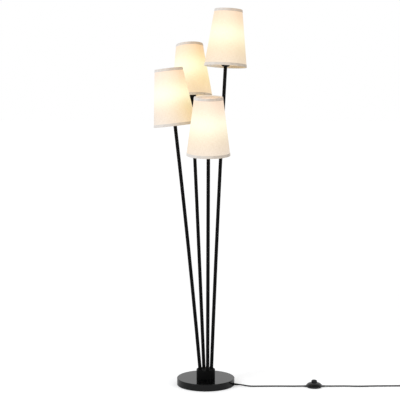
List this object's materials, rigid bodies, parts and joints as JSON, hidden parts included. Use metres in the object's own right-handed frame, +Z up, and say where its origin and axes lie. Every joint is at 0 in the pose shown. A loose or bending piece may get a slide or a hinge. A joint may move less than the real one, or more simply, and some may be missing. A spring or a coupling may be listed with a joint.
{
  "type": "tree floor lamp",
  "caption": "Tree floor lamp: leaning tubes of different heights fan out from one hub on a round weighted base, each with a bulb in an empire fabric shade; mains cord with a foot switch.",
  "frame": {"origin": "on the floor, under the middle of the round base", "axes": "+Z up, -Y to the front (the viewer's side in the picture), +X to the right, where the cord lies"},
  "size_m": [1.1421, 0.5, 1.4939],
  "materials": {
    "black_coat": "satin black powder coat",
    "cast_weight": "raw casting",
    "zinc_steel": "zinc plated",
    "felt": "pressed felt",
    "terminal_plastic": "matt, moulded",
    "lead_insulation": "soft sleeve",
    "cord_jacket": "smooth, slightly glossy",
    "holder_plastic": "moulded thermoset",
    "holder_ceramic": "unglazed ceramic",
    "contact_brass": "stamped strip",
    "bulb_cap_metal": "bright",
    "bulb_glass": "opal",
    "bulb_inner": "glass stem and filament rods",
    "carrier_wire": "white powder coat",
    "shade_fabric": "woven, warm white, laminated",
    "shade_tape": "woven bias tape",
    "tie_plastic": "ribbed nylon",
    "plug_plastic": "moulded",
    "pin_metal": "nickel plated",
    "switch_shell": "polished",
    "switch_button": "moulded, ribbed",
    "switch_inner": "moulded"
  },
  "bodies": {
    "lamp": {"base_cover": "black_coat", "hub": "black_coat", "tube_right": "black_coat", "tube_rear": "black_coat", "tube_left": "black_coat", "tube_front": "black_coat", "holder_cup_right": "black_coat", "holder_cup_rear": "black_coat", "holder_cup_left": "black_coat", "holder_cup_front": "black_coat", "base_weight": "cast_weight", "base_plate": "zinc_steel", "base_plate_screws": "zinc_steel", "inner_screws": "zinc_steel", "hub_stud": "zinc_steel", "hub_washer": "zinc_steel", "hub_nut": "zinc_steel", "hub_grub_screws": "zinc_steel", "tube_nipples": "zinc_steel", "switch_screws": "zinc_steel", "switch_spring": "zinc_steel", "felt_pad": "felt", "terminal_ring": "terminal_plastic", "cord_clamp": "terminal_plastic", "tube_leads": "lead_insulation", "supply_lead": "cord_jacket", "cord_to_switch": "cord_jacket", "cord_to_coil": "cord_jacket", "cord_coil": "cord_jacket", "cord_grommet": "cord_jacket", "lamp_holders": "holder_plastic", "shade_clamp_rings": "holder_plastic", "holder_cores": "holder_ceramic", "holder_contacts": "contact_brass", "switch_contacts": "contact_brass", "bulb_caps": "bulb_cap_metal", "bulb_glass_right": "bulb_glass", "bulb_glass_rear": "bulb_glass", "bulb_glass_left": "bulb_glass", "bulb_glass_front": "bulb_glass", "bulb_filaments": "bulb_inner", "shade_carrier_right": "carrier_wire", "shade_carrier_rear": "carrier_wire", "shade_carrier_left": "carrier_wire", "shade_carrier_front": "carrier_wire", "shade_top_wires": "carrier_wire", "shade_skin_right": "shade_fabric", "shade_skin_rear": "shade_fabric", "shade_skin_left": "shade_fabric", "shade_skin_front": "shade_fabric", "shade_tapes": "shade_tape", "coil_tie": "tie_plastic", "plug_body": "plug_plastic", "plug_pins": "pin_metal", "switch_bottom": "switch_shell", "switch_top": "switch_shell", "switch_ratchet_cup": "switch_inner", "switch_rotor": "switch_inner"},
    "button": {"switch_button": "switch_button", "switch_plunger": "switch_button"}
  },
  "joints": [
    {"name": "foot_button_press", "type": "slide", "parent": "lamp", "child": "button", "axis": [0, 0, -1], "range_m": [0, 0.0035], "stiffness_N_per_m": 1200, "springref_m": -0.003, "deforming": ["switch_spring"]}
  ]
}
